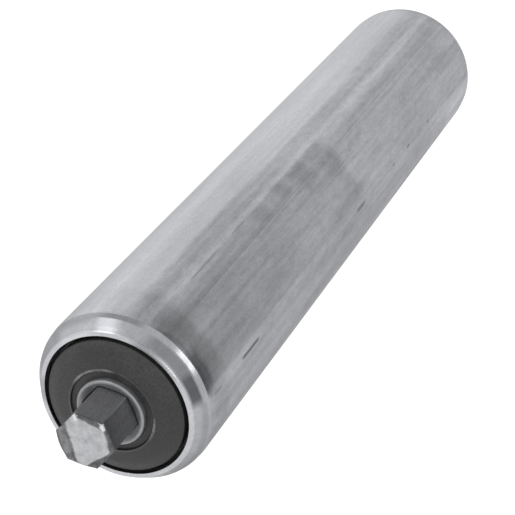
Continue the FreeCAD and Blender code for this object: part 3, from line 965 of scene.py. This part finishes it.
def hexagonRound():
    # one turn of the bar's section, corners rounded: (angle, radius in mm)
    small = axleBar["cornerRound"]
    middle = barCorner - small / math.cos(math.radians(30))
    points = []

    def cornerPoint(heading, turn):
        # on the rounding of the corner at heading, turned from it; all in degrees
        a, b = math.radians(heading), math.radians(heading + turn)
        x = middle * math.cos(a) + small * math.cos(b)
        z = middle * math.sin(a) + small * math.sin(b)
        return x, z

    for k in range(6):
        heading = axleBar["turn"] + 30 + 60 * k
        for j in range(axleBar["cornerSteps"]):
            points.append(cornerPoint(heading, -30 + 60 * j / (axleBar["cornerSteps"] - 1)))
        start = cornerPoint(heading, 30)
        end = cornerPoint(heading + 60, -30)
        for j in range(1, axleBar["flatSteps"]):
            share = j / axleBar["flatSteps"]
            x = start[0] + (end[0] - start[0]) * share
            z = start[1] + (end[1] - start[1]) * share
            points.append((x, z))
    return [(math.atan2(z, x), math.hypot(x, z)) for x, z in points]


def outFrom(r, angle, heading):
    # how far a place on the section lies out in one direction
    return r * math.cos(angle - math.radians(heading))


def endSink(r, angle):
    # how far the sheared end face falls back at a place on it
    sink = 0.0
    for heading, start, depth in axleBar["rolls"]:
        share = max(0.0, outFrom(r, angle, heading) - start) / (barFlat - start)
        sink += (depth * min(share, axleBar["rollLimit"])) ** 2
    sink = math.sqrt(sink)
    for heading, start in axleBar["burrs"]:
        beyond = max(0.0, outFrom(r, angle, heading) - start)
        sink *= 1 - min(1.0, beyond / axleBar["burrWidth"])
    away = barCorner - outFrom(r, angle, axleBar["longSide"])
    return sink + away * math.tan(math.radians(axleBar["slant"]))


def endSpread(angle):
    bulge = 0
    for heading, size, narrow in axleBar["spread"]:
        bulge += size * max(0.0, math.cos(angle - math.radians(heading))) ** narrow
    return bulge


def endRings(section, side, station):
    # (angle, radius, place along Y): from the middle of an end face out to the flats,
    # then along the bar until the outward bulge is gone
    rings = []
    for k in range(1, axleBar["faceRings"] + 1):
        share = k / axleBar["faceRings"]
        outwards = [(a, (rim + endSpread(a)) * share) for a, rim in section]
        rings.append([(a, r, side * (station - endSink(r, a))) for a, r in outwards])
    for share in axleBar["spreadSteps"]:
        inset = axleBar["spreadLength"] * share
        fading = (1 - share) ** axleBar["spreadCurve"]
        ring = []
        for a, rim in section:
            r = rim + endSpread(a) * fading
            back = max(inset, endSink(r, a) + axleBar["spreadRoom"])
            ring.append((a, r, side * (station - back)))
        rings.append(ring)
    return rings


def grooveRings(section):
    # two grooves that hold the stop rings
    rings = []
    room = axleBar["grooveRoom"]
    for name in ("near_stop_ring", "spring_stop_ring"):
        low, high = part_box(name)
        first, last = low.y / mm - room, high.y / mm + room
        for y, sunk in ((first, False), (first, True), (last, True), (last, False)):
            limit = axleBar["grooveRadius"] if sunk else barCorner
            rings.append([(a, min(rim, limit), y) for a, rim in section])
    return rings


def makeAxle():
    section = hexagonRound()
    station = axleEnd / mm
    bar = bmesh.new()
    middleNear = bar.verts.new((0, -axleEnd, 0))
    middleFar = bar.verts.new((0, axleEnd, 0))
    rings = endRings(section, -1, station) + grooveRings(section)
    rings += endRings(section, 1, station)[::-1]
    rows = []
    for ring in rings:
        places = [(r * math.cos(a) * mm, y * mm, r * math.sin(a) * mm) for a, r, y in ring]
        rows.append([bar.verts.new(place) for place in places])
    count = len(section)
    for k in range(count):
        following = (k + 1) % count
        bar.faces.new((middleNear, rows[0][k], rows[0][following]))
        bar.faces.new((middleFar, rows[-1][following], rows[-1][k]))
        for first, second in zip(rows, rows[1:]):
            bar.faces.new((first[k], second[k], second[following], first[following]))
    bmesh.ops.remove_doubles(bar, verts=bar.verts, dist=axleBar["weld"] * mm)
    for patch in bar.faces:
        patch.smooth = True
    mesh = bpy.data.meshes.new("hexBar")
    bar.to_mesh(mesh)
    bar.free()
    mesh.materials.append(finishes["axleSteel"])
    axle = keepMesh("hexBar", mesh, axleBar["crease"])
    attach(axle, "axle")
    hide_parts("hex_axle")


makeAxle()
print("axle: hexagonal bar with sheared ends")


springSizes = {
    "openTurns": 6.5,
    "closedTurns": 1.0,               # at each end
    "wire": 1.0,                      # its radius, mm
    "steps": 36,                      # to one turn
    "closedPitch": 2.04,              # rise of a closed turn, in wire radii
    "inset": 1.12,                    # wire's middle inside the node's box, in wire radii
    "wireSides": 14,
    "crease": 60,
}
springLow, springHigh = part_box("axle_spring")


def springTree():
    # open coils between closed turns at each end
    names = ("Open Turns", "Closed Turns", "Radius", "Wire", "Start", "End")
    inputs = {name: "Float" for name in names}
    inputs.update({"Steps": "Int", "Finish": "Material"})
    tree, given, output = startTree("coilSpring", inputs)
    closedTurns = times(tree, given["Closed Turns"], 2.0)
    whole = plus(tree, given["Open Turns"], closedTurns)
    count = plus(tree, times(tree, whole, given["Steps"]), 1)
    line = addNode(tree, "GeometryNodeCurvePrimitiveLine", mode="POINTS").outputs[0]
    path = addNode(tree, "GeometryNodeResampleCurve", {"Curve": line, "Count": count}).outputs[0]
    index = addNode(tree, "GeometryNodeInputIndex").outputs[0]
    turn = over(tree, index, given["Steps"])
    angle = times(tree, turn, 2 * math.pi)
    # how many closed and open turns lie before a place, and how far each kind rises
    farStart = plus(tree, given["Open Turns"], given["Closed Turns"])
    nearClosed = calc(tree, "MINIMUM", turn, given["Closed Turns"])
    farClosed = calc(tree, "MAXIMUM", minus(tree, turn, farStart), 0.0)
    closed = plus(tree, nearClosed, farClosed)
    opened = minus(tree, turn, closed)
    low = plus(tree, given["Start"], given["Wire"])
    high = minus(tree, given["End"], given["Wire"])
    rise = times(tree, given["Wire"], springSizes["closedPitch"])
    span = minus(tree, minus(tree, high, low), times(tree, closedTurns, rise))
    y = plus(tree, low, times(tree, closed, rise))
    y = plus(tree, y, over(tree, times(tree, opened, span), given["Open Turns"]))
    spot = roundAxis(tree, given["Radius"], angle, y)
    coil = addNode(tree, "GeometryNodeSetPosition", {"Geometry": path, "Position": spot}).outputs[0]
    inputs = {"Resolution": springSizes["wireSides"], "Radius": given["Wire"]}
    section = addNode(tree, "GeometryNodeCurvePrimitiveCircle", inputs, mode="RADIUS").outputs[0]
    inputs = {"Curve": coil, "Profile Curve": section, "Fill Caps": True}
    wire = addNode(tree, "GeometryNodeCurveToMesh", inputs)
    endTree(tree, wire.outputs[0], output, given)
    return tree


def makeSpring():
    low, high = springLow, springHigh
    wire = springSizes["wire"] * mm
    sizes = {
        "Open Turns": springSizes["openTurns"],
        "Closed Turns": springSizes["closedTurns"],
        "Radius": high.x - wire * springSizes["inset"],
        "Wire": wire,
        "Start": low.y,
        "End": high.y,
        "Steps": springSizes["steps"],
        "Finish": finishes["springSteel"],
    }
    spring = bakeTree("pushSpring", springTree(), sizes, crease=springSizes["crease"])
    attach(spring, "axle")
    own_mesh(spring)
    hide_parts("axle_spring")


ballRow = {"count": 9, "segments": 48, "rings": 24, "crease": 60}


def ballTree():
    # equal balls spaced round a circle about Y
    inputs = {"Count": "Int", "Pitch Radius": "Float", "Ball Radius": "Float", "Place": "Float"}
    inputs["Finish"] = "Material"
    tree, given, output = startTree("ballRow", inputs)
    segments, rings = ballRow["segments"], ballRow["rings"]
    inputs = {"Segments": segments, "Rings": rings, "Radius": given["Ball Radius"]}
    ball = addNode(tree, "GeometryNodeMeshUVSphere", inputs).outputs[0]
    inputs = {"Vertices": given["Count"], "Radius": given["Pitch Radius"]}
    circle = addNode(tree, "GeometryNodeMeshCircle", inputs).outputs[0]
    inputs = {"Geometry": circle, "Rotation": (-math.pi / 2, 0, 0)}
    upright = addNode(tree, "GeometryNodeTransform", inputs).outputs[0]
    spot = addNode(tree, "ShaderNodeCombineXYZ", {"Y": given["Place"]}).outputs[0]
    centres = addNode(tree, "GeometryNodeSetPosition", {"Geometry": upright, "Offset": spot})
    inputs = {"Points": centres.outputs[0], "Instance": ball}
    row = addNode(tree, "GeometryNodeInstanceOnPoints", inputs)
    endTree(tree, row.outputs[0], output, given)
    return tree


ballForm = ballTree()


def makeBalls(label):
    low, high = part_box(label + "_bearing_balls")
    radius = (high.y - low.y) / 2
    sizes = {
        "Count": ballRow["count"],
        "Pitch Radius": high.x - radius,
        "Ball Radius": radius,
        "Place": (low.y + high.y) / 2,
        "Finish": finishes["bearingSteel"],
    }
    balls = bakeTree(label + "Balls", ballForm, sizes, crease=ballRow["crease"])
    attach(balls, label + "_balls")
    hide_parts(label + "_bearing_balls")


makeSpring()
makeBalls("near")
makeBalls("far")
print("spring and balls: made")


finishOf = {
    "tube_galvanised": "galvanisedTube",
    "axle_steel": "axleSteel",
    "core_steel": "coreSteel",
    "bearing_steel": "bearingSteel",
    "spring_steel": "springSteel",
    "shield_polymer": "shieldPlastic",
    "housing_polymer": "housingPlastic",
    "cage_polymer": "cagePlastic",
    "seal_rubber": "sealRubber",
}
for part in frame["record"]["subparts"]:
    for slot in frame["nodes"][part["node"]].material_slots:
        slot.material = finishes[finishOf[part["material_slot"]]]
print("nodes: finishes given")
